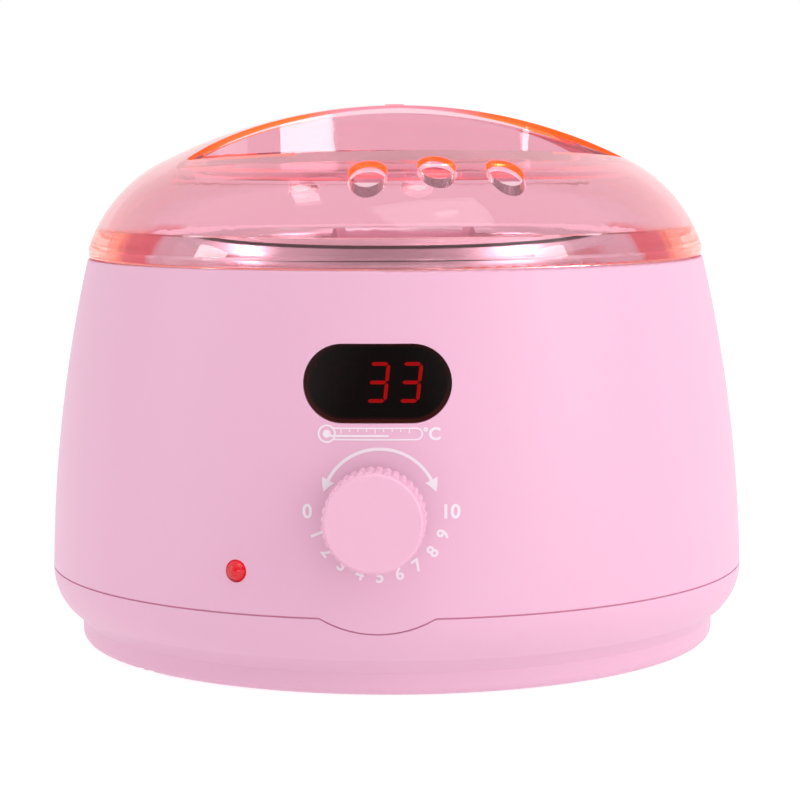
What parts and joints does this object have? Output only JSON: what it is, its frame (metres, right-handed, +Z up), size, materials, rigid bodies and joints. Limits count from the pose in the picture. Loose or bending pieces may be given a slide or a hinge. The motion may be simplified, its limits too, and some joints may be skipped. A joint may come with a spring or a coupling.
{
  "type": "wax warmer pot",
  "caption": "Wax warmer: round pink housing with heated well, lift-out pot with bail, knob, display and clear domed lid with a ridge grip.",
  "frame": {"origin": "on the pot's vertical axis, at the surface that the warmer stands on", "axes": "+Z up, -Y to the front with the knob and the display, +Y to the power inlet at the back"},
  "size_m": [0.1756, 0.1889, 0.1346],
  "materials": {
    "pink_shell": "satin moulded pink plastic",
    "knob_pink": "satin moulded pink plastic",
    "clear_pink": "clear tinted plastic, glossy",
    "smoked_window": "smoked glossy plastic",
    "red_lamp": "clear red plastic",
    "rubber": "matt",
    "steel": "zinc plated",
    "polished_aluminium": "polished",
    "pot_aluminium": "spun and brushed",
    "brass": "plated",
    "plate": "satin, blank",
    "heater_ceramic": "matt ceramic",
    "mica": "matt",
    "circuit_board": "glossy lacquer",
    "terminal_green": "glossy",
    "black_plastic": "satin",
    "lead_sheath": "soft plastic sheath"
  },
  "bodies": {
    "housing": {"upper_housing": "pink_shell", "base_housing": "pink_shell", "rubber_feet": "rubber", "housing_screws": "steel", "rating_plate": "plate", "heating_chamber": "polished_aluminium", "chamber_gasket": "rubber", "heater_disc": "heater_ceramic", "heater_insulator": "mica", "heater_clamp_plate": "steel", "retaining_bar": "steel", "retaining_screws": "steel", "clamp_nut": "steel", "temperature_sensor": "black_plastic", "thermal_fuse": "steel", "fuse_clip": "steel", "control_board": "circuit_board", "board_screws": "steel", "terminal_block": "terminal_green", "relay": "black_plastic", "transformer": "black_plastic", "filter_capacitor": "black_plastic", "heater_leads": "lead_sheath", "inlet_leads": "lead_sheath", "potentiometer_leads": "lead_sheath", "display_leads": "lead_sheath", "lamp_leads": "lead_sheath", "display_window": "smoked_window", "display_board": "circuit_board", "display_digits": "black_plastic", "indicator_lamp": "red_lamp", "lamp_holder": "black_plastic", "potentiometer": "black_plastic", "potentiometer_washer": "steel", "potentiometer_nut": "steel", "power_inlet": "black_plastic", "inlet_pins": "brass"},
    "knob": {"thermostat_knob": "knob_pink", "potentiometer_shaft": "steel"},
    "inner_pot": {"inner_pot": "pot_aluminium", "bail_ears": "steel"},
    "bail": {"bail_wire": "steel", "bail_grip": "knob_pink"},
    "lid": {"lid": "clear_pink"}
  },
  "joints": [
    {"name": "knob_turn", "type": "hinge", "parent": "housing", "child": "knob", "pos_m": [0, -0.09, 0.0428], "axis": [0, 1, 0], "range_deg": [0, 270]},
    {"name": "pot_lift", "type": "slide", "parent": "housing", "child": "inner_pot", "axis": [0, 0, 1], "range_m": [0, 0.09]},
    {"name": "bail_swing", "type": "hinge", "parent": "inner_pot", "child": "bail", "pos_m": [0, 0, 0.099], "axis": [1, 0, 0], "range_deg": [0, 90]},
    {"name": "lid_lift", "type": "slide", "parent": "inner_pot", "child": "lid", "axis": [0, 0, 1], "range_m": [0, 0.15]}
  ],
  "couplings": [
    {"joint": "bail_swing", "follows": "lid_lift", "rad_per_m": 10.47}
  ]
}
